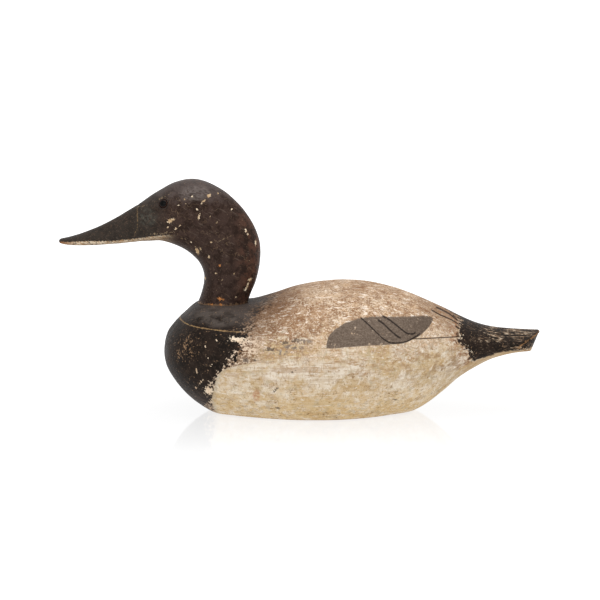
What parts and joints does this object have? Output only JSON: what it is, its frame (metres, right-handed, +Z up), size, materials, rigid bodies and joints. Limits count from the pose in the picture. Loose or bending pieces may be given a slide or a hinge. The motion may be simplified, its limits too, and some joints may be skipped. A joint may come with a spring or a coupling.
{
  "type": "duck decoy",
  "caption": "Hollow carved wooden duck decoy with a separate head, glass eyes, worn paint, a weight in its flat bottom and a folding ring for an anchor line.",
  "frame": {"origin": "on the ground under the middle of the whole decoy, centred on its length and its width", "axes": "-X towards the bill, +X towards the tail, +Z up; the decoy's left side faces -Y"},
  "size_m": [0.432, 0.166, 0.2096],
  "materials": {
    "back_paint": "matte",
    "side_paint": "matte",
    "head_paint": "satin",
    "seam_putty": "matte",
    "eye_putty": "matte",
    "eye_glass": "polished",
    "hardwood": "matte",
    "nail_steel": "matte",
    "screw_steel": "matte",
    "lead": "matte",
    "brass": "satin"
  },
  "bodies": {
    "decoy": {"upper_body_shell": "back_paint", "lower_body_shell": "side_paint", "seam_putty": "seam_putty", "head": "head_paint", "neck_dowel": "hardwood", "left_eye": "eye_glass", "left_eye_wire": "nail_steel", "left_eye_putty": "eye_putty", "right_eye": "eye_glass", "right_eye_wire": "nail_steel", "right_eye_putty": "eye_putty", "hull_nail_left_1": "nail_steel", "hull_nail_left_2": "nail_steel", "hull_nail_left_3": "nail_steel", "hull_nail_left_4": "nail_steel", "hull_nail_right_1": "nail_steel", "hull_nail_right_2": "nail_steel", "hull_nail_right_3": "nail_steel", "hull_nail_right_4": "nail_steel", "neck_nail_left": "nail_steel", "neck_nail_right": "nail_steel", "neck_nail_back": "nail_steel", "ballast_plate": "lead", "ballast_screw_1": "screw_steel", "ballast_screw_2": "screw_steel", "ballast_screw_3": "screw_steel", "ballast_screw_4": "screw_steel", "line_staple": "brass"},
    "line_ring": {"line_ring": "brass"}
  },
  "joints": [
    {"name": "line_ring_swing", "type": "hinge", "parent": "decoy", "child": "line_ring", "pos_m": [-0.045, 0, 0.00385], "axis": [0, -1, 0], "range_deg": [0, 135]}
  ]
}
